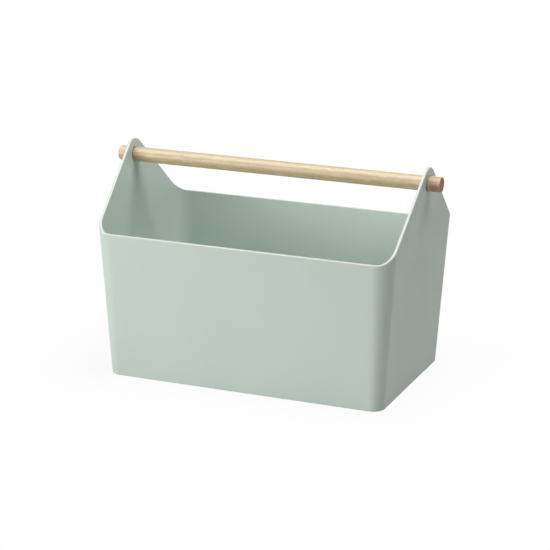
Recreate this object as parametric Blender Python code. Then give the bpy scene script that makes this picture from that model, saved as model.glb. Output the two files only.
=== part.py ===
"""Open carry caddy: a moulded plastic tub with two gabled ends, and a round wooden bar through them.

X runs along the tub, Y across it and Z up. The origin is under the middle of the floor.
Lengths are in metres.
"""

import math

import bmesh
import bpy
from mathutils import Matrix, Vector

# Tub
RIM_LENGTH = 0.350  # outside, along the level rim
RIM_WIDTH = 0.222  # outside, across the level rim
RIM_HEIGHT = 0.168  # from the ground to the level rim
DRAFT = math.radians(3.6)  # outward lean of every wall, carried on up the gables
RIM_CORNER_RADIUS = 0.021
FLOOR_CORNER_RADIUS = 0.014
WALL = 0.0033
FLOOR = 0.0033
LIP_OUTER_ROUND = 0.0013  # on the outer edge of the rim and gables
LIP_INNER_ROUND = 0.0004  # on their inner edge, which is nearly sharp
BASE_ROUND = 0.0015  # outside, where the walls meet the underside
INSIDE_ROUND = 0.004  # inside, where the walls meet the floor

# Gables
HAND_ROOM = 0.0580  # clear height between the level rim and the bar
GABLE_FOOT_RADIUS = 0.0045  # hollow curve from the level rim into the slope, at the inner face
EYE_MARGIN = 0.0094  # plastic left above the bar's hole
TIP_RADIUS = 0.0205  # round at the top, blunter than a ring about the hole

# Bar
BAR_DIAMETER = 0.0169
BAR_STUB = 0.0149  # length that stands out past each gable
BAR_END_ROUND = 0.0004
BAR_CLEARANCE = 0.0003  # between the bar and its holes, all round

# Facets
CORNER_STEPS = 14
TIP_STEPS = 8
FOOT_STEPS = 6
LIP_OUTER_STEPS = 3
LIP_INNER_STEPS = 2
LEAST_SPACING = 0.0015  # between the last section of the gable's foot and the corner
BASE_STEPS = 3
INSIDE_STEPS = 4
BAR_END_STEPS = 2
ROUND_SIDES = 48
SMOOTH_ANGLE = math.radians(35)
END_EDGE_ANGLE = math.radians(60)  # sharper edges than this on the bar are its end edges

# Limits of the small rounds, as shares of what holds them
LIP_OUTER_SHARE = 0.8  # of the wall
LIP_INNER_SHARE = 0.15  # of the wall
INSIDE_SHARE = 0.8  # of the floor corner's inner radius

# Worked out from the sizes above
BAR_RADIUS = BAR_DIAMETER / 2
BAR_HEIGHT = RIM_HEIGHT + HAND_ROOM + BAR_RADIUS
HOLE_RADIUS = BAR_RADIUS + BAR_CLEARANCE
TIP_CENTRE = BAR_HEIGHT + HOLE_RADIUS + EYE_MARGIN - TIP_RADIUS  # height of the tip's own centre
FOOT_END = RIM_WIDTH / 2 - WALL  # distance from the middle at which the gable's foot becomes level
QUARTER_TURN = math.pi / 2
HEIGHT_PASSES = 8  # rounds of finding the rim's height on a wall that widens as it rises


def clear_scene():
    for old in list(bpy.data.objects):
        bpy.data.objects.remove(old, do_unlink=True)


def make_material(name, colour, roughness):
    material = bpy.data.materials.new(name)
    material.use_nodes = True
    shader = material.node_tree.nodes["Principled BSDF"]
    shader.inputs["Base Color"].default_value = (*colour, 1.0)
    shader.inputs["Roughness"].default_value = roughness
    shader.inputs["Metallic"].default_value = 0.0
    return material


def add_object(name, bm, material=None):
    """Turn a bmesh into a smooth-shaded object with crisp edges."""
    bmesh.ops.recalc_face_normals(bm, faces=bm.faces)
    mesh = bpy.data.meshes.new(name)
    bm.to_mesh(mesh)
    bm.free()
    mesh.shade_smooth()
    mesh.set_sharp_from_angle(angle=SMOOTH_ANGLE)
    if material:
        mesh.materials.append(material)
    made = bpy.data.objects.new(name, mesh)
    bpy.context.collection.objects.link(made)
    return made


def half_length(z):
    return RIM_LENGTH / 2 + (z - RIM_HEIGHT) * math.tan(DRAFT)


def half_width(z):
    return RIM_WIDTH / 2 + (z - RIM_HEIGHT) * math.tan(DRAFT)


def corner_radius(z):
    growth = (RIM_CORNER_RADIUS - FLOOR_CORNER_RADIUS) / RIM_HEIGHT
    return FLOOR_CORNER_RADIUS + growth * z


def wall_point(turn, z, inset=0.0, y=None):
    """Point of one corner's outer wall at height z, moved in by inset.

    turn goes from 0, where the corner leaves the end wall, to a quarter turn at the long wall.
    With y given, the point is on the flat of the end wall instead.
    """
    radius = corner_radius(z)
    x = half_length(z) - radius + (radius - inset) * math.cos(turn)
    if y is None:
        y = half_width(z) - radius + (radius - inset) * math.sin(turn)
    return Vector((x, y, z))


def gable_slope():
    """Angle of the straight run that touches both the tip's round and the foot's hollow."""
    down = TIP_CENTRE - (RIM_HEIGHT + GABLE_FOOT_RADIUS)
    turn = math.asin((TIP_RADIUS + GABLE_FOOT_RADIUS) / math.hypot(FOOT_END, down))
    return math.atan2(down, FOOT_END) + turn


def gable_edge(y):
    """Height and downhill angle of the end's top edge at a distance y from the middle."""
    slope = gable_slope()
    to_foot = FOOT_END - y
    if y <= TIP_RADIUS * math.sin(slope):
        angle = math.asin(y / TIP_RADIUS)
        return TIP_CENTRE + TIP_RADIUS * math.cos(angle), angle
    if to_foot > GABLE_FOOT_RADIUS * math.sin(slope):
        return TIP_CENTRE + TIP_RADIUS / math.cos(slope) - y * math.tan(slope), slope
    if to_foot > 0:
        angle = math.asin(to_foot / GABLE_FOOT_RADIUS)
        return RIM_HEIGHT + GABLE_FOOT_RADIUS * (1 - math.cos(angle)), angle
    return RIM_HEIGHT, 0.0


def rim_height(turn, y=None):
    """Height and downhill angle of the rim, by the inner face of the wall that faces the given turn."""
    z, angle = RIM_HEIGHT, 0.0
    for _ in range(HEIGHT_PASSES):
        z, angle = gable_edge(wall_point(turn, z, WALL, y).y)
    return z, angle


def gable_stops():
    """Distances from the middle at which the flat of the end needs a vertex along its top edge."""
    slope = gable_slope()
    top = rim_height(0.0)[0]
    flat = half_width(top) - corner_radius(top)
    tip = [TIP_RADIUS * math.sin(slope * i / TIP_STEPS) for i in range(TIP_STEPS + 1)]
    foot = [FOOT_END - GABLE_FOOT_RADIUS * math.sin(slope * (1 - i / FOOT_STEPS))
            for i in range(FOOT_STEPS)]
    return tip + [y for y in foot if y < flat - LEAST_SPACING]


def quarter_round(radius, steps):
    """Rounded edge from a wall's face to its top, as (in from the face, below the top)."""
    turns = [QUARTER_TURN * i / steps for i in range(steps + 1)]
    return [(radius * (1 - math.cos(turn)), radius * (1 - math.sin(turn))) for turn in turns]


def lip_profile():
    """Top edge of the wall, rounder outside than inside, as (across the wall, below the top)."""
    outer_round = min(LIP_OUTER_ROUND, LIP_OUTER_SHARE * WALL)
    inner_round = min(LIP_INNER_ROUND, LIP_INNER_SHARE * WALL)
    outer = [(WALL / 2 - inset, -drop) for inset, drop in quarter_round(outer_round, LIP_OUTER_STEPS)]
    inner = [(inset - WALL / 2, -drop) for inset, drop in quarter_round(inner_round, LIP_INNER_STEPS)]
    return outer + inner[::-1]


def lip_points(turn, y=None):
    """Points of the lip where the wall faces the given turn. Its top is level across the wall."""
    z, angle = rim_height(turn, y)
    outward = Vector((math.cos(turn), math.sin(turn), 0))
    along = Vector((-math.sin(turn), math.cos(turn), 0))
    rise = wall_point(turn, z + WALL, y=y) - wall_point(turn, z, y=y)
    rise -= along * rise.dot(along)
    rise.normalize()
    crest = rise + along * math.tan(angle) * along.y / rise.z
    crest.normalize()
    middle = wall_point(turn, z, WALL / 2, y)
    return [middle + outward * across + crest * below for across, below in lip_profile()]


def base_rings(radius, bottom, inset, steps):
    """Round at the bottom of a leaning wall, as (offset from the wall's plan at the ground, height)."""
    centre = (bottom + radius) * math.tan(DRAFT) - radius / math.cos(DRAFT) - inset
    rings = []
    for i in range(steps + 1):
        bend = DRAFT + (QUARTER_TURN - DRAFT) * i / steps
        rings.append((centre + radius * math.cos(bend), bottom + radius * (1 - math.sin(bend))))
    return rings


def base_points(turn, rings):
    points = []
    for offset, z in rings:
        point = wall_point(turn, 0.0, -offset)
        points.append(Vector((point.x, point.y, z)))
    return points


def tub_sections():
    """Sections of the wall, anticlockwise from the middle of the right end.

    Each is (lip, outer base, inner base). On the flat of an end only the lip has points,
    because each flat is one face.
    """
    inside_round = min(INSIDE_ROUND, INSIDE_SHARE * (FLOOR_CORNER_RADIUS - WALL))
    outer_rings = base_rings(BASE_ROUND, 0.0, 0.0, BASE_STEPS)
    inner_rings = base_rings(inside_round, FLOOR, WALL, INSIDE_STEPS)
    turns = [QUARTER_TURN * i / CORNER_STEPS for i in range(CORNER_STEPS + 1)]
    flat = [(lip_points(0.0, y), [], []) for y in gable_stops()]
    corner = []
    for turn in turns:
        corner.append((lip_points(turn), base_points(turn, outer_rings), base_points(turn, inner_rings)))
    sections = []
    for side_x, side_y in ((1, 1), (-1, 1), (-1, -1), (1, -1)):
        quarter = flat + corner
        if side_x * side_y < 0:
            quarter = quarter[:0:-1]
        flip = Matrix.Diagonal((side_x, side_y, 1))
        sections += [tuple([flip @ p for p in points] for points in section) for section in quarter]
    return sections


def tub_mesh():
    """Closed shell from the wall's sections: lip, walls, rounded bases, underside and floor."""
    bm = bmesh.new()
    lips, outers, inners = [], [], []
    for lip, outer, inner in tub_sections():
        lips.append([bm.verts.new(p) for p in lip])
        outers.append([bm.verts.new(p) for p in outer])
        inners.append([bm.verts.new(p) for p in inner])
    count = len(lips)
    for i in range(count):
        here, after = lips[i], lips[(i + 1) % count]
        for j in range(len(here) - 1):
            bm.faces.new((here[j], after[j], after[j + 1], here[j + 1]))
    posts = [i for i in range(count) if outers[i]]
    for here, after in zip(posts, posts[1:] + [posts[0] + count]):
        between = range(here, after + 1)
        after %= count
        for bases, edge in ((outers, 0), (inners, -1)):
            left, right = bases[here], bases[after]
            top = [lips[i % count][edge] for i in between]
            bm.faces.new(top + [right[0], left[0]])
            for j in range(len(left) - 1):
                bm.faces.new((left[j], right[j], right[j + 1], left[j + 1]))
    bm.faces.new([outers[i][-1] for i in posts])
    bm.faces.new([inners[i][-1] for i in posts])
    return bm


def rod_mesh(radius, length):
    """Round rod along X, centred on its own origin."""
    bm = bmesh.new()
    bmesh.ops.create_cone(bm, cap_ends=True, segments=ROUND_SIDES,
                          radius1=radius, radius2=radius, depth=length)
    bmesh.ops.rotate(bm, verts=bm.verts, cent=(0, 0, 0), matrix=Matrix.Rotation(QUARTER_TURN, 3, "Y"))
    return bm


def bar_half_length():
    return half_length(BAR_HEIGHT) + BAR_STUB


def make_tub():
    plastic = make_material("sage_plastic", (0.575, 0.66, 0.602), 0.5)
    tub = add_object("moulded_tub", tub_mesh(), plastic)
    drill = add_object("bar_hole_cutter", rod_mesh(HOLE_RADIUS, 2 * bar_half_length()))
    drill.location.z = BAR_HEIGHT
    drill.hide_render = True
    drill.display_type = "WIRE"
    cut = tub.modifiers.new("bar_holes", "BOOLEAN")
    cut.operation = "DIFFERENCE"
    cut.solver = "EXACT"
    cut.object = drill
    return tub


def make_bar():
    """Carrying bar, with its origin on the axis it turns about."""
    wood = make_material("pale_wood", (0.65, 0.51, 0.32), 0.55)
    bar = add_object("wooden_bar", rod_mesh(BAR_RADIUS, 2 * bar_half_length()), wood)
    bar.location.z = BAR_HEIGHT
    rounding = bar.modifiers.new("end_round", "BEVEL")
    rounding.width = BAR_END_ROUND
    rounding.segments = BAR_END_STEPS
    rounding.limit_method = "ANGLE"
    rounding.angle_limit = END_EDGE_ANGLE
    return bar


clear_scene()
make_tub()
make_bar()
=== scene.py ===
"""Looks of the carry caddy: the moulded sage-green tub, its pale wooden bar, a pale floor and soft light.

X runs along the tub, Y across it and Z up, in metres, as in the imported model.
"""

import math

import bmesh
import bpy
from mathutils import Matrix, Vector


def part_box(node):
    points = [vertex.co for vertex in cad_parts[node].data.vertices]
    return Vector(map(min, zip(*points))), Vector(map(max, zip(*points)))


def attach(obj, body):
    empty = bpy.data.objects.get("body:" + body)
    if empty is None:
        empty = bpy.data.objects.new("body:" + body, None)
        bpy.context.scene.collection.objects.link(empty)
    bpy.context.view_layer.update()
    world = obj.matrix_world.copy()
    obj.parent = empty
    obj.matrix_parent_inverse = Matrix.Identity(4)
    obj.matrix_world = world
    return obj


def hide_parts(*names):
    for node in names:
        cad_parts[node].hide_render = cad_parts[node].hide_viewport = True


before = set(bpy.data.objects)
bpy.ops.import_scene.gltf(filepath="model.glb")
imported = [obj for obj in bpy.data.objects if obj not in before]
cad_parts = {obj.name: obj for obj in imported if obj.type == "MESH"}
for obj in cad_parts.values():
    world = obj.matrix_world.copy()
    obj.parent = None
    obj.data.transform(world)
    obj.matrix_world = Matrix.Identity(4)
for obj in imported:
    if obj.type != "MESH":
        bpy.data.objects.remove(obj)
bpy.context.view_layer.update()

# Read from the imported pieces
TUB_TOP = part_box("moulded_tub")[1].z
BAR_LOW, BAR_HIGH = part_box("wooden_bar")
BAR_RADIUS = (BAR_HIGH.z - BAR_LOW.z) / 2
BAR_HEIGHT = (BAR_HIGH.z + BAR_LOW.z) / 2
BAR_HALF_LENGTH = BAR_HIGH.x

# Tub, with the sizes of its moulding
RIM_LENGTH = 0.350
RIM_WIDTH = 0.222
RIM_HEIGHT = 0.168
DRAFT = math.radians(3.6)
RIM_CORNER_RADIUS = 0.021
FLOOR_CORNER_RADIUS = 0.014
WALL = 0.0033
FLOOR = 0.0033
LIP_OUTER_ROUND = 0.0013
LIP_INNER_ROUND = 0.0004
BASE_ROUND = 0.0015
INSIDE_ROUND = 0.004
GABLE_FOOT_RADIUS = 0.0045
TIP_RADIUS = 0.0205
TIP_CENTRE = TUB_TOP - TIP_RADIUS
FOOT_END = RIM_WIDTH / 2 - WALL  # the gable's edge meets the level rim at the long wall's inner face

# Bar and the holes it turns in
BAR_CLEARANCE = 0.0003
HOLE_RADIUS = BAR_RADIUS + BAR_CLEARANCE
HOLE_ROUND = 0.0004
BAR_END_ROUND = 0.0004

# How finely the curves are drawn
QUARTER_TURN = math.pi / 2
CORNER_STEPS = 48
TIP_STEPS = 32
LIP_STEPS = 8
BASE_STEPS = 5
INSIDE_STEPS = 8
HOLE_SIDES = 96
HOLE_ROUND_STEPS = 4
BAR_SIDES = 96
BAR_END_STEPS = 6
SMOOTH_ANGLE = math.radians(35)
HEIGHT_PASSES = 8  # the rim's height and the leaning wall's place depend on each other

# Camera, solved from the outlines in the photograph
CAMERA_TARGET = Vector((-0.00116, 0.0, 0.10919))
CAMERA_AZIMUTH = math.radians(22.285)
CAMERA_ELEVATION = math.radians(16.520)
CAMERA_ROLL = math.radians(0.358)
CAMERA_DISTANCE = 2.2723
SENSOR_WIDTH = 36.0  # in millimetres, as the lens
LENS = 130.506

# Studio
WHITE = (1.0, 1.0, 1.0, 1.0)
WORLD_AMBIENT = 0.09
FLOOR_SIDE = 12.0
FLOOR_CELLS = 8
FLOOR_DROP = 0.0002
FLOOR_SEEN = (0.79, 0.79, 0.79, 1.0)  # where a ray shows the paper
FLOOR_BOUNCE = (0.47, 0.47, 0.46, 1.0)  # where the paper only lights the object
FLOOR_GLOW = 0.91  # share of plain white in the paper seen next to the tub
FLOOR_FADE = 0.16  # from the tub to where the paper is all white
FLOOR_DRIFT = dict(scale=3.0, amount=0.01)
FLOOR_ROUGHNESS = 0.9

# Lamps: name, azimuth and elevation in degrees from the object, side of the square in metres, watts
STUDIO_AIM = Vector((0.0, 0.0, 0.11))
LAMP_DISTANCE = 2.0
LAMPS = (
    ("softbox_left", -45.0, 10.0, 0.9, 15.8),
    ("softbox_front", -20.0, 10.0, 0.9, 10.9),
    ("softbox_above", 92.0, 77.5, 1.4, 39.5),
    ("softbox_behind", 180.0, 10.0, 0.9, 4.5),
)
# This one shows in reflections alone, as the sheen on the bar's upper side and the lips
SHEEN_LAMP = ("softbox_sheen", -66.0, 66.5, 1.5, 34.0)
SHEEN_COLOUR = (0.80, 0.92, 1.0)

# Plastic
SAGE = (0.575, 0.66, 0.602, 1.0)
SAGE_LIP_PAINTED_HIGHLIGHT = (0.595, 0.622, 0.573, 1.0)  # painted highlight: a paler, greyer tone on the lip in place of the whitening its light gives
SAGE_SPECULAR = 0.5
SAGE_ROUGHNESS = (0.46, 0.54)
SAGE_DRIFT = dict(scale=9.0, amount=0.03)
# Mask of the lip's vertices, where the painted highlight goes
LIP_PAINTED_HIGHLIGHT_MASK = "lip"
FLOW = dict(scale=26.0, detail=3.0)  # clouds in the gloss
SKIN = dict(scale=1900.0, detail=1.0, low=0.3, high=0.7)
SKIN_STRENGTH = 0.10
SKIN_DEPTH = 0.00006

# Wood colours
OAK = (0.605, 0.525, 0.30, 1.0)
OAK_DARK_RING = (0.46, 0.33, 0.165, 1.0)
OAK_PINK = (0.60, 0.42, 0.28, 1.0)
OAK_PORE = (0.36, 0.24, 0.12, 1.0)
OAK_FLECK = (0.78, 0.67, 0.45, 1.0)
OAK_END = (0.335, 0.195, 0.09, 1.0)
OAK_HEART = (0.42, 0.26, 0.13, 1.0)
# Painted shade in the gap round the bar where it passes through each wall
OAK_SEAT_PAINTED_SHADE = (0.10, 0.08, 0.05, 1.0)
OAK_SPECULAR = 0.7
OAK_ROUGHNESS = (0.36, 0.46)
END_ROUGHER = 0.4  # sawn end grain against the sanded sides
OAK_DRIFT = dict(scale=40.0, amount=0.10)

# Wood streaks: the smaller the first number of a squeeze, the longer they run along the bar
STRAND = dict(squeeze=(0.05, 1.0, 1.0), scale=650.0, detail=2.0, low=0.35, high=0.65)
FIBRE = dict(squeeze=(0.10, 1.0, 1.0), scale=1200.0, detail=3.0, low=0.32, high=0.68)
PORE = dict(squeeze=(0.08, 1.0, 1.0), scale=1100.0, detail=1.0, low=0.60, high=0.70)
FLECK = dict(squeeze=(0.18, 1.0, 1.0), scale=480.0, detail=1.0, low=0.60, high=0.72)
BLUSH = dict(squeeze=(0.16, 1.0, 1.0), scale=150.0, detail=3.0, low=0.42, high=0.62)
HEART_PATCH = dict(squeeze=(0.15, 1.0, 1.0), scale=230.0, detail=2.0, low=0.35, high=0.60)
SWAY = dict(squeeze=(0.30, 1.0, 1.0), scale=26.0, detail=3.0, low=0.2, high=0.8)

# Share of its own colour that each layer gives, where its mask is 0 and where it is 1
RING_SHARE = (0.0, 0.35)
BLUSH_SHARE = (0.0, 0.75)
STRAND_SHARE = (0.40, 0.0)
FIBRE_SHARE = (0.40, 0.0)
PORE_SHARE = (0.0, 0.45)
FLECK_SHARE = (0.0, 0.45)
HEART_SHARE = (0.20, 0.85)
END_SHARE = (0.0, 0.9)
GRAIN_STRENGTH = 0.35
GRAIN_DEPTH = 0.00008

# Wood rings, heart and ends
RING_SPACING = 0.0021
RING_EARLY = 0.1  # part of each ring's width before it starts to darken
RING_SWAY = 0.004
RING_TILT = 0.045  # how far the rings' middle line wanders across, for each unit along the bar
PITH_BEHIND = 0.055  # from the bar's middle to the middle of the rings
PITH_ABOVE = 0.030
HEART_START = 0.181  # the heartwood shows from here to the bar's right end
HEART_FULL = 0.187
SEAT_SHADE = 0.0010  # how far the painted shade of the gap reaches along the bar from each face of the wall


def half_length(z):
    """From the tub's middle to the outer face of an end, at height z."""
    return RIM_LENGTH / 2 + (z - RIM_HEIGHT) * math.tan(DRAFT)


def half_width(z):
    """From the tub's middle to the outer face of a long wall, at height z."""
    return RIM_WIDTH / 2 + (z - RIM_HEIGHT) * math.tan(DRAFT)


def corner_radius(z):
    """Outer radius of the upright corners, which grows from the floor to the rim."""
    growth = (RIM_CORNER_RADIUS - FLOOR_CORNER_RADIUS) / RIM_HEIGHT
    return FLOOR_CORNER_RADIUS + growth * z


def wall_point(turn, z, inset=0.0, y=None):
    """Point of one corner's outer wall at height z, moved in by inset.

    turn goes from 0, where the corner leaves the end wall, to a quarter turn at the long wall.
    With y given, the point is on the flat of the end wall instead.
    """
    radius = corner_radius(z)
    x = half_length(z) - radius + (radius - inset) * math.cos(turn)
    if y is None:
        y = half_width(z) - radius + (radius - inset) * math.sin(turn)
    return Vector((x, y, z))


def gable_slope():
    """Angle of the straight run that touches both the tip's round and the foot's hollow."""
    down = TIP_CENTRE - (RIM_HEIGHT + GABLE_FOOT_RADIUS)
    turn = math.asin((TIP_RADIUS + GABLE_FOOT_RADIUS) / math.hypot(FOOT_END, down))
    return math.atan2(down, FOOT_END) + turn


def gable_edge(y):
    """Height and downhill angle of the end's top edge at a distance y from the middle."""
    slope = gable_slope()
    to_foot = FOOT_END - y
    if y <= TIP_RADIUS * math.sin(slope):
        angle = math.asin(y / TIP_RADIUS)
        return TIP_CENTRE + TIP_RADIUS * math.cos(angle), angle
    if to_foot > GABLE_FOOT_RADIUS * math.sin(slope):
        return TIP_CENTRE + TIP_RADIUS / math.cos(slope) - y * math.tan(slope), slope
    if to_foot > 0:
        angle = math.asin(to_foot / GABLE_FOOT_RADIUS)
        return RIM_HEIGHT + GABLE_FOOT_RADIUS * (1 - math.cos(angle)), angle
    return RIM_HEIGHT, 0.0


def rim_height(turn, y=None):
    """Height and downhill angle of the rim, by the inner face of the wall that faces the given turn."""
    z, angle = RIM_HEIGHT, 0.0
    for _ in range(HEIGHT_PASSES):
        z, angle = gable_edge(wall_point(turn, z, WALL, y).y)
    return z, angle


def quarter_round(radius, steps):
    """Rounded edge from a wall's face to its top, as (in from the face, below the top)."""
    turns = [QUARTER_TURN * i / steps for i in range(steps + 1)]
    return [(radius * (1 - math.cos(turn)), radius * (1 - math.sin(turn))) for turn in turns]


def lip_profile():
    """Top edge of the wall, rounder outside than inside, as (across the wall, below the top)."""
    outer = [(WALL / 2 - inset, -drop) for inset, drop in quarter_round(LIP_OUTER_ROUND, LIP_STEPS)]
    inner = [(inset - WALL / 2, -drop) for inset, drop in quarter_round(LIP_INNER_ROUND, LIP_STEPS)]
    return outer + inner[::-1]


def lip_points(turn, y=None):
    """Points of the lip where the wall faces the given turn. Its top is level across the wall."""
    z, angle = rim_height(turn, y)
    outward = Vector((math.cos(turn), math.sin(turn), 0))
    along = Vector((-math.sin(turn), math.cos(turn), 0))
    rise = wall_point(turn, z + WALL, y=y) - wall_point(turn, z, y=y)
    rise -= along * rise.dot(along)
    rise.normalize()
    crest = rise + along * math.tan(angle) * along.y / rise.z
    crest.normalize()
    middle = wall_point(turn, z, WALL / 2, y)
    return [middle + outward * across + crest * below for across, below in lip_profile()]


def base_rings(radius, bottom, inset, steps):
    """Round at the bottom of a leaning wall, as (offset from the wall's plan at the ground, height)."""
    centre = (bottom + radius) * math.tan(DRAFT) - radius / math.cos(DRAFT) - inset
    rings = []
    for i in range(steps + 1):
        bend = DRAFT + (QUARTER_TURN - DRAFT) * i / steps
        rings.append((centre + radius * math.cos(bend), bottom + radius * (1 - math.sin(bend))))
    return rings


def base_points(turn, rings, y=None):
    """Points of a base round where the wall faces the given turn, from the top down."""
    points = []
    for offset, z in rings:
        point = wall_point(turn, 0.0, -offset, y)
        points.append(Vector((point.x, point.y, z)))
    return points


def tub_sections():
    """Sections of the wall, anticlockwise from the middle of the right end.

    Each is (lip, outer base, inner base). On the flat of an end only its middle has base points.
    """
    outer_rings = base_rings(BASE_ROUND, 0.0, 0.0, BASE_STEPS)
    inner_rings = base_rings(INSIDE_ROUND, FLOOR, WALL, INSIDE_STEPS)

    def whole(turn, y=None):
        """Section with both of its bases."""
        return lip_points(turn, y), base_points(turn, outer_rings, y), base_points(turn, inner_rings, y)

    tip_edge = TIP_RADIUS * math.sin(gable_slope())
    tip_angles = [gable_slope() * i / TIP_STEPS for i in range(1, TIP_STEPS + 1)]
    turns = [QUARTER_TURN * i / CORNER_STEPS for i in range(CORNER_STEPS + 1)]
    quarter = [whole(0.0, 0.0)]
    quarter += [(lip_points(0.0, min(TIP_RADIUS * math.sin(a), tip_edge)), [], []) for a in tip_angles]
    quarter += [whole(turn) for turn in turns]
    sections = []
    for side_x, side_y in ((1, 1), (-1, 1), (-1, -1), (1, -1)):
        flip = Matrix.Diagonal((side_x, side_y, 1))
        # A quarter that runs backwards leaves out the middle of the end, which the next one starts with
        part = quarter if side_x * side_y > 0 else quarter[:0:-1]
        sections += [tuple([flip @ p for p in points] for points in section) for section in part]
    return sections


def hole_rings(bm, side):
    """Rings of the bar's hole through one end, outer face to inner, each from its lowest point."""
    edge = []
    for i in range(HOLE_ROUND_STEPS + 1):
        bend = QUARTER_TURN * i / HOLE_ROUND_STEPS
        edge.append((HOLE_RADIUS + HOLE_ROUND * (1 - math.sin(bend)), HOLE_ROUND * (1 - math.cos(bend))))
    edge += [(radius, WALL - depth) for radius, depth in reversed(edge)]
    rings = []
    for radius, depth in edge:
        ring = []
        for i in range(HOLE_SIDES):
            angle = 2 * math.pi * i / HOLE_SIDES
            z = BAR_HEIGHT - radius * math.cos(angle)
            place = (side * (half_length(z) - depth), side * radius * math.sin(angle), z)
            ring.append(bm.verts.new(place))
        rings.append(ring)
    return rings


def strip(bm, first, second, closed=False):
    """Row of quads between two rows of vertices."""
    count = len(first)
    for i in range(count if closed else count - 1):
        j = (i + 1) % count
        bm.faces.new((first[i], first[j], second[j], second[i]))


def tub_mesh():
    """Closed shell: lip, walls with the bar's two holes, rounded bases, underside and floor."""
    bm = bmesh.new()
    lip_painted_highlight_mask = bm.verts.layers.float.new(LIP_PAINTED_HIGHLIGHT_MASK)
    columns = [[[bm.verts.new(p) for p in points] for points in section] for section in tub_sections()]
    # The lip's vertices carry the mask for its painted highlight
    for lip, _, _ in columns:
        for vertex in lip[1:-1]:
            vertex[lip_painted_highlight_mask] = 1.0
    count = len(columns)
    for i in range(count):
        strip(bm, columns[i][0], columns[(i + 1) % count][0])
    holes = {0: hole_rings(bm, 1), count // 2: hole_rings(bm, -1)}
    for rings in holes.values():
        for outer, inner in zip(rings, rings[1:]):
            strip(bm, outer, inner, closed=True)
    posts = [i for i in range(count) if columns[i][1]]
    half_turn = HOLE_SIDES // 2
    for here, after in zip(posts, posts[1:] + [count]):
        last = after % count
        for surface, edge in ((1, 0), (2, -1)):
            left, right = columns[here][surface], columns[last][surface]
            strip(bm, left, right)
            outline = [columns[i % count][0][edge] for i in range(here, after + 1)]
            if last in holes:
                ring = holes[last][edge]
                outline += ring[half_turn:] + ring[:1]
            outline += [right[0], left[0]]
            if here in holes:
                outline += holes[here][edge][:half_turn + 1]
            bm.faces.new(outline)
    bm.faces.new([columns[i][1][-1] for i in posts])
    bm.faces.new([columns[i][2][-1] for i in posts])
    return bm


def bar_mesh():
    """Round bar along X with rounded end edges."""
    bm = bmesh.new()
    profile = []
    for i in range(BAR_END_STEPS + 1):
        bend = QUARTER_TURN * i / BAR_END_STEPS
        x = BAR_HALF_LENGTH - BAR_END_ROUND * (1 - math.cos(bend))
        profile.append((x, BAR_RADIUS - BAR_END_ROUND * (1 - math.sin(bend))))
    profile += [(-x, radius) for x, radius in reversed(profile)]
    rings = []
    for x, radius in profile:
        angles = [2 * math.pi * i / BAR_SIDES for i in range(BAR_SIDES)]
        rings.append([bm.verts.new((x, radius * math.sin(a), BAR_HEIGHT + radius * math.cos(a)))
                      for a in angles])
    for first, second in zip(rings, rings[1:]):
        strip(bm, first, second, closed=True)
    bm.faces.new(rings[0])
    bm.faces.new(rings[-1])
    return bm


def add_piece(name, bm, material, node, body):
    """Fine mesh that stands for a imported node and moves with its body."""
    bmesh.ops.recalc_face_normals(bm, faces=bm.faces)
    mesh = bpy.data.meshes.new(name)
    bm.to_mesh(mesh)
    bm.free()
    mesh.shade_smooth()
    mesh.set_sharp_from_angle(angle=SMOOTH_ANGLE)
    mesh.materials.append(material)
    piece = bpy.data.objects.new(name, mesh)
    bpy.context.collection.objects.link(piece)
    flats = piece.modifiers.new("flats_stay_flat", "WEIGHTED_NORMAL")
    flats.keep_sharp = True
    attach(piece, body)
    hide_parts(node)


def feed(tree, socket, value):
    """Link an input to another node's output, or set it to a plain value."""
    if isinstance(value, bpy.types.NodeSocket):
        tree.links.new(value, socket)
    else:
        socket.default_value = value


def add_node(tree, kind, inputs=None, **settings):
    """Node with its settings, and with its inputs given by name or by number."""
    made = tree.nodes.new(kind)
    for name, value in settings.items():
        setattr(made, name, value)
    for label, value in (inputs or {}).items():
        feed(tree, made.inputs[label], value)
    return made


def calculate(tree, operation, *numbers):
    """Result of one operation on numbers, each of them plain or another node's output."""
    node = add_node(tree, "ShaderNodeMath", dict(enumerate(numbers)), operation=operation)
    return node.outputs["Value"]


def calculate_vector(tree, operation, *vectors):
    """The same for vectors, with the result as a vector."""
    node = add_node(tree, "ShaderNodeVectorMath", dict(enumerate(vectors)), operation=operation)
    return node.outputs["Vector"]


def vector_length(tree, vector):
    """Length of a vector."""
    return add_node(tree, "ShaderNodeVectorMath", {0: vector}, operation="LENGTH").outputs["Value"]


def map_range(tree, value, interpolation="LINEAR", **ends):
    """A value moved from one range to another, each 0 to 1 where no other ends are given."""
    inputs = {"Value": value}
    inputs.update({label.replace("_", " ").title(): end for label, end in ends.items()})
    return add_node(tree, "ShaderNodeMapRange", inputs, interpolation_type=interpolation).outputs["Result"]


def new_group(name, inputs, outputs):
    """Empty shader group. Inputs are (label, kind, value) and outputs are (label, kind)."""
    group = bpy.data.node_groups.new(name, "ShaderNodeTree")
    for label, kind, value in inputs:
        socket = group.interface.new_socket(label, in_out="INPUT", socket_type="NodeSocket" + kind)
        if value is not None:
            socket.default_value = value
    for label, kind in outputs:
        group.interface.new_socket(label, in_out="OUTPUT", socket_type="NodeSocket" + kind)
    return group, group.nodes.new("NodeGroupInput").outputs, group.nodes.new("NodeGroupOutput")


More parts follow.
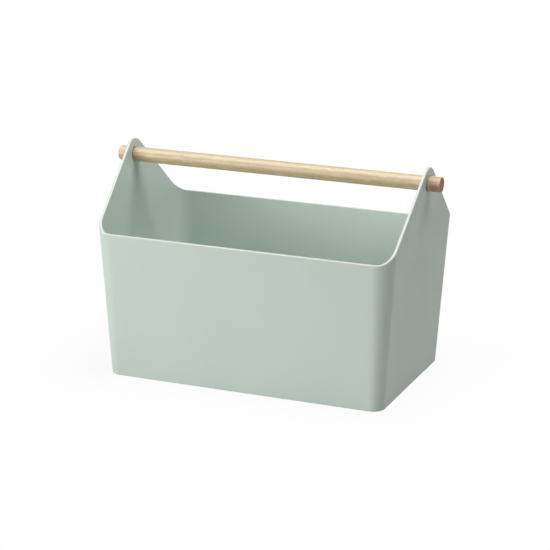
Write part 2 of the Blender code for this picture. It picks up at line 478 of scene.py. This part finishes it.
def make_streak_group():
    """Noise drawn out along chosen directions, as a value from 0 to 1."""
    group, given, out = new_group("streaks", (
        ("Position", "Vector", None),
        ("Squeeze", "Vector", (1.0, 1.0, 1.0)),
        ("Scale", "Float", 100.0),
        ("Detail", "Float", 2.0),
        ("Low", "Float", 0.35),
        ("High", "Float", 0.65),
    ), (("Value", "Float"),))
    noise = add_node(group, "ShaderNodeTexNoise", {
        "Vector": calculate_vector(group, "MULTIPLY", given["Position"], given["Squeeze"]),
        "Scale": given["Scale"],
        "Detail": given["Detail"],
    })
    spread = map_range(group, noise.outputs["Fac"], from_min=given["Low"], from_max=given["High"])
    feed(group, out.inputs["Value"], spread)
    return group


def make_drift_group(streaks):
    """Slow change of tone over a surface: the colour times 1 less or more the amount."""
    group, given, out = new_group("tone_drift", (
        ("Position", "Vector", None),
        ("Colour", "Color", WHITE),
        ("Scale", "Float", 10.0),
        ("Amount", "Float", 0.02),
    ), (("Colour", "Color"),))
    clouds = place_group(group, streaks, position=given["Position"], scale=given["Scale"])
    centred = calculate(group, "SUBTRACT", clouds, 0.5)
    factor = calculate(group, "MULTIPLY_ADD", centred, given["Amount"], 1.0)
    tinted = add_node(group, "ShaderNodeVectorMath",
                      {0: given["Colour"], "Scale": factor}, operation="SCALE").outputs["Vector"]
    feed(group, out.inputs["Colour"], tinted)
    return group


def place_group(tree, group, **inputs):
    """Output of a group that is placed with its inputs given by name."""
    named = {label.capitalize(): value for label, value in inputs.items()}
    return add_node(tree, "ShaderNodeGroup", named, node_tree=group).outputs[0]


def blend_colours(tree, share, first, second):
    """Colour between two others, by a share from 0 to 1."""
    mix = add_node(tree, "ShaderNodeMix", data_type="RGBA")
    for label, value in (("Factor", share), ("A", first), ("B", second)):
        socket = [s for s in mix.inputs if s.name == label and s.enabled][0]
        feed(tree, socket, value)
    return [s for s in mix.outputs if s.enabled][0]


def lay_over(tree, colour, layer, mask, share):
    """Colour with a layer's colour over it, where share is what the layer gives at mask 0 and at mask 1."""
    least, most = share
    return blend_colours(tree, map_range(tree, mask, to_min=least, to_max=most), colour, layer)


def new_material(name):
    """Material with its tree, its shader and the position on the piece."""
    material = bpy.data.materials.new(name)
    material.use_nodes = True
    tree = material.node_tree
    position = add_node(tree, "ShaderNodeTexCoord").outputs["Object"]
    return material, tree, tree.nodes["Principled BSDF"], position


def make_sage_plastic(streaks, drift):
    """Matte moulded plastic: an even colour with a painted highlight on the lip, a faint flow of tone and a
    fine grained skin.
    """
    material, tree, shader, position = new_material("sage_plastic")
    lip = add_node(tree, "ShaderNodeAttribute", attribute_name=LIP_PAINTED_HIGHLIGHT_MASK).outputs["Fac"]
    # Painted highlight: the lip gets a paler, greyer tone
    colour = blend_colours(tree, lip, SAGE, SAGE_LIP_PAINTED_HIGHLIGHT)
    colour = place_group(tree, drift, position=position, colour=colour, **SAGE_DRIFT)
    smoothest, roughest = SAGE_ROUGHNESS
    flow = place_group(tree, streaks, position=position, **FLOW)
    bump = add_node(tree, "ShaderNodeBump", {
        "Strength": SKIN_STRENGTH,
        "Distance": SKIN_DEPTH,
        "Height": place_group(tree, streaks, position=position, **SKIN),
    })
    feed(tree, shader.inputs["Base Color"], colour)
    feed(tree, shader.inputs["Roughness"], map_range(tree, flow, to_min=smoothest, to_max=roughest))
    feed(tree, shader.inputs["Specular IOR Level"], SAGE_SPECULAR)
    feed(tree, shader.inputs["Normal"], bump.outputs["Normal"])
    return material


def ring_bands(tree, streaks, position, axes):
    """Growth rings round a tilted, swaying line, from 0 in their pale wood to 1 in their dark wood."""
    sway = place_group(tree, streaks, position=position, **SWAY)
    sway = map_range(tree, sway, to_min=-RING_SWAY, to_max=RING_SWAY)
    across = calculate(tree, "MULTIPLY_ADD", axes["X"], RING_TILT, axes["Y"])
    across = calculate(tree, "ADD", across, PITH_BEHIND)
    down = calculate(tree, "SUBTRACT", axes["Z"], BAR_HEIGHT + PITH_ABOVE)
    arm = add_node(tree, "ShaderNodeCombineXYZ", {"Y": across, "Z": down}).outputs["Vector"]
    swayed = calculate(tree, "ADD", vector_length(tree, arm), sway)
    ring = calculate(tree, "FRACT", calculate(tree, "DIVIDE", swayed, RING_SPACING))
    return map_range(tree, ring, "SMOOTHERSTEP", from_min=RING_EARLY, from_max=1.0)


def heart_mask(tree, streaks, position, axes):
    """Patches of heartwood towards the bar's right end."""
    reach = map_range(tree, axes["X"], from_min=HEART_START, from_max=HEART_FULL)
    patch = place_group(tree, streaks, position=position, **HEART_PATCH)
    least, most = HEART_SHARE
    return calculate(tree, "MULTIPLY", reach, map_range(tree, patch, to_min=least, to_max=most))


def seat_painted_shade_mask(tree, from_middle):
    """Painted shade of the gap where the bar passes each wall: 1 within the wall and 0 a little way out of
    it.
    """
    wall_middle = half_length(BAR_HEIGHT) - WALL / 2
    from_wall = calculate(tree, "ABSOLUTE", calculate(tree, "SUBTRACT", from_middle, wall_middle))
    return map_range(tree, from_wall, from_min=WALL / 2 + SEAT_SHADE, from_max=WALL / 2)


def end_mask(tree, from_middle):
    """1 on the bar's sawn ends and 0 along its sides."""
    return map_range(tree, from_middle, from_min=BAR_HALF_LENGTH - BAR_END_ROUND,
                     from_max=BAR_HALF_LENGTH - BAR_END_ROUND / 4)


def make_pale_wood(streaks, drift):
    """Oiled pale oak: growth rings, fibres, pores and flecks along the bar, end grain on its ends, and
    painted shade where it passes the walls.
    """
    material, tree, shader, position = new_material("pale_wood")
    axes = add_node(tree, "ShaderNodeSeparateXYZ", {"Vector": position}).outputs
    from_middle = calculate(tree, "ABSOLUTE", axes["X"])
    fibre, strand, pore, fleck, blush = [
        place_group(tree, streaks, position=position, **streak)
        for streak in (FIBRE, STRAND, PORE, FLECK, BLUSH)]
    end = end_mask(tree, from_middle)

    colour = place_group(tree, drift, position=position, colour=OAK, **OAK_DRIFT)
    rings = ring_bands(tree, streaks, position, axes)
    for layer, mask, share in (
        (OAK_DARK_RING, rings, RING_SHARE),
        (OAK_PINK, blush, BLUSH_SHARE),
        (OAK_DARK_RING, strand, STRAND_SHARE),
        (OAK_DARK_RING, fibre, FIBRE_SHARE),
        (OAK_PORE, pore, PORE_SHARE),
        (OAK_FLECK, fleck, FLECK_SHARE),
    ):
        colour = lay_over(tree, colour, layer, mask, share)
    colour = blend_colours(tree, heart_mask(tree, streaks, position, axes), colour, OAK_HEART)
    # Painted shade in the gap where the bar passes through each wall
    colour = blend_colours(tree, seat_painted_shade_mask(tree, from_middle), colour, OAK_SEAT_PAINTED_SHADE)
    colour = lay_over(tree, colour, OAK_END, end, END_SHARE)

    smoothest, roughest = OAK_ROUGHNESS
    roughness = map_range(tree, fibre, to_min=smoothest, to_max=roughest)
    bump = add_node(tree, "ShaderNodeBump", {
        "Strength": GRAIN_STRENGTH,
        "Distance": GRAIN_DEPTH,
        "Height": calculate(tree, "SUBTRACT", fibre, pore),
    })
    feed(tree, shader.inputs["Base Color"], colour)
    feed(tree, shader.inputs["Roughness"], calculate(tree, "MULTIPLY_ADD", end, END_ROUGHER, roughness))
    feed(tree, shader.inputs["Specular IOR Level"], OAK_SPECULAR)
    feed(tree, shader.inputs["Normal"], bump.outputs["Normal"])
    return material


def seen_share(tree):
    """1 for rays that show the background, from the camera or in a reflection, and 0 for light."""
    path = add_node(tree, "ShaderNodeLightPath").outputs
    seen = calculate(tree, "MAXIMUM", path["Is Camera Ray"], path["Is Glossy Ray"])
    return calculate(tree, "MAXIMUM", seen, path["Is Transmission Ray"])


def make_floor_paper(drift):
    """Pale studio paper: white to the eye, with the object's shadow, which fades out away from the tub."""
    material, tree, shader, position = new_material("floor_paper")
    seen = seen_share(tree)
    colour = blend_colours(tree, seen, FLOOR_BOUNCE, FLOOR_SEEN)
    colour = place_group(tree, drift, position=position, colour=colour, **FLOOR_DRIFT)
    feed(tree, shader.inputs["Base Color"], colour)
    feed(tree, shader.inputs["Roughness"], FLOOR_ROUGHNESS)
    feed(tree, shader.inputs["Specular IOR Level"], 0.0)
    past = calculate_vector(tree, "SUBTRACT", calculate_vector(tree, "ABSOLUTE", position),
                            (RIM_LENGTH / 2, RIM_WIDTH / 2, 0.0))
    distance = vector_length(tree, calculate_vector(tree, "MAXIMUM", past, (0.0, 0.0, 0.0)))
    white = map_range(tree, distance, "SMOOTHSTEP", from_max=FLOOR_FADE, to_min=FLOOR_GLOW, to_max=1.0)
    glow = add_node(tree, "ShaderNodeEmission", {"Color": WHITE, "Strength": 1.0})
    mix = add_node(tree, "ShaderNodeMixShader", {
        0: calculate(tree, "MULTIPLY", seen, white),
        1: shader.outputs["BSDF"],
        2: glow.outputs["Emission"],
    })
    feed(tree, tree.nodes["Material Output"].inputs["Surface"], mix.outputs["Shader"])
    return material


def add_floor(material):
    """Level sheet of paper, just below what stands on it."""
    bm = bmesh.new()
    bmesh.ops.create_grid(bm, x_segments=FLOOR_CELLS, y_segments=FLOOR_CELLS, size=FLOOR_SIDE / 2)
    bmesh.ops.translate(bm, verts=bm.verts, vec=(0, 0, -FLOOR_DROP))
    mesh = bpy.data.meshes.new("studio_floor")
    bm.to_mesh(mesh)
    bm.free()
    mesh.materials.append(material)
    floor = bpy.data.objects.new("studio_floor", mesh)
    bpy.context.collection.objects.link(floor)


def set_world():
    """White to the eye, and an even soft light to everything else."""
    world = bpy.data.worlds.new("studio")
    world.use_nodes = True
    tree = world.node_tree
    light = tree.nodes["Background"]
    feed(tree, light.inputs["Color"], WHITE)
    feed(tree, light.inputs["Strength"], WORLD_AMBIENT)
    seen = add_node(tree, "ShaderNodeBackground", {"Color": WHITE, "Strength": 1.0})
    mix = add_node(tree, "ShaderNodeMixShader", {
        0: seen_share(tree),
        1: light.outputs["Background"],
        2: seen.outputs["Background"],
    })
    feed(tree, tree.nodes["World Output"].inputs["Surface"], mix.outputs["Shader"])
    bpy.context.scene.world = world


def direction(azimuth, elevation):
    """Direction from the object: azimuth 0 is towards -Y, and 90 degrees is towards +X."""
    level = math.cos(elevation)
    return Vector((math.sin(azimuth) * level, -math.cos(azimuth) * level, math.sin(elevation)))


def add_lamp(name, azimuth, elevation, side, watts):
    """Square soft lamp that faces the object."""
    away = direction(math.radians(azimuth), math.radians(elevation))
    data = bpy.data.lights.new(name, "AREA")
    data.shape = "SQUARE"
    data.size = side
    data.energy = watts
    lamp = bpy.data.objects.new(name, data)
    lamp.location = STUDIO_AIM + away * LAMP_DISTANCE
    lamp.rotation_euler = away.to_track_quat("Z", "Y").to_euler()
    bpy.context.collection.objects.link(lamp)
    return lamp


def add_lamps():
    """The soft lamps, and one more that shows in reflections alone."""
    for settings in LAMPS:
        add_lamp(*settings)
    sheen = add_lamp(*SHEEN_LAMP)
    sheen.data.color = SHEEN_COLOUR
    sheen.visible_diffuse = False


def add_camera():
    """Camera at the photograph's angle and distance."""
    back = direction(CAMERA_AZIMUTH, CAMERA_ELEVATION)
    right = Vector((math.cos(CAMERA_AZIMUTH), math.sin(CAMERA_AZIMUTH), 0))
    up = back.cross(right)
    level_right = math.cos(CAMERA_ROLL) * right + math.sin(CAMERA_ROLL) * up
    level_up = math.cos(CAMERA_ROLL) * up - math.sin(CAMERA_ROLL) * right
    data = bpy.data.cameras.new("photo_camera")
    data.sensor_width = SENSOR_WIDTH
    data.lens = LENS
    camera = bpy.data.objects.new("photo_camera", data)
    turned = Matrix((level_right, level_up, back)).transposed().to_4x4()
    camera.matrix_world = Matrix.Translation(CAMERA_TARGET + back * CAMERA_DISTANCE) @ turned
    bpy.context.collection.objects.link(camera)
    bpy.context.scene.camera = camera


streak_group = make_streak_group()
drift_group = make_drift_group(streak_group)
add_piece("sage_tub", tub_mesh(), make_sage_plastic(streak_group, drift_group),
          "moulded_tub", "tub")
add_piece("carrying_bar", bar_mesh(), make_pale_wood(streak_group, drift_group),
          "wooden_bar", "bar")
add_floor(make_floor_paper(drift_group))
set_world()
add_lamps()
add_camera()
bpy.context.scene.view_settings.view_transform = "Standard"
